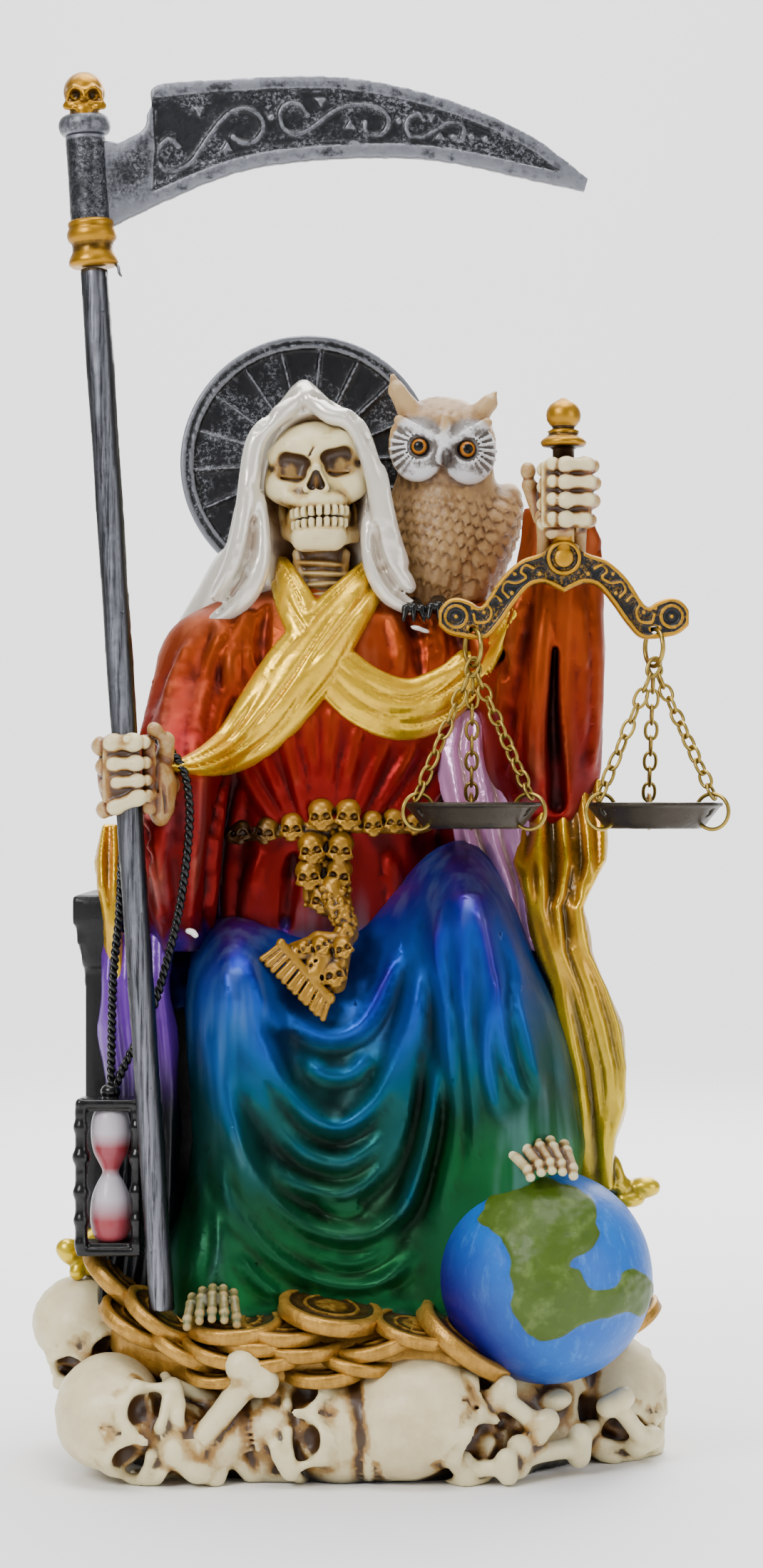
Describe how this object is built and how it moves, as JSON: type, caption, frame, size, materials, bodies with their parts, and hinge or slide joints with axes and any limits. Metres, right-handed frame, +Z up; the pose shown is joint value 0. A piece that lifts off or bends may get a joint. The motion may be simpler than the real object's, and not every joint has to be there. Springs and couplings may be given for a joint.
{
  "type": "santa muerte figure",
  "caption": "Painted resin figure of a hooded skeleton seated on a throne over skulls and coins, with a scythe, hanging scales, an owl, a globe, an hourglass and a halo",
  "frame": {"origin": "centre of the flat underside of the base, on the ground plane", "axes": "+Z up, the figure faces -Y, the scythe stands at -X and the scales hang at +X"},
  "size_m": [0.1529, 0.0983, 0.301],
  "materials": {
    "painted_resin": "cast resin, glossy pearl paints with a brown wash in the recesses",
    "blackened_silver": "black paint dry-brushed with silver",
    "blackened_gold": "black paint dry-brushed with old gold",
    "antique_brass": "plated wire with a dark antique tone",
    "dark_bronze": "dark bronze with a worn rim"
  },
  "bodies": {
    "root": {"figure": "painted_resin", "scythe_shaft": "blackened_silver", "scythe_head": "blackened_silver", "scale_beam": "blackened_gold", "pan_left": "dark_bronze", "pan_right": "dark_bronze", "hanger_ring_left": "antique_brass", "hanger_ring_right": "antique_brass", "chain_left_1": "antique_brass", "chain_left_2": "antique_brass", "chain_left_3": "antique_brass", "chain_right_1": "antique_brass", "chain_right_2": "antique_brass", "chain_right_3": "antique_brass", "pan_ring_left_1": "antique_brass", "pan_ring_left_2": "antique_brass", "pan_ring_left_3": "antique_brass", "pan_ring_right_1": "antique_brass", "pan_ring_right_2": "antique_brass", "pan_ring_right_3": "antique_brass"}
  },
  "joints": []
}
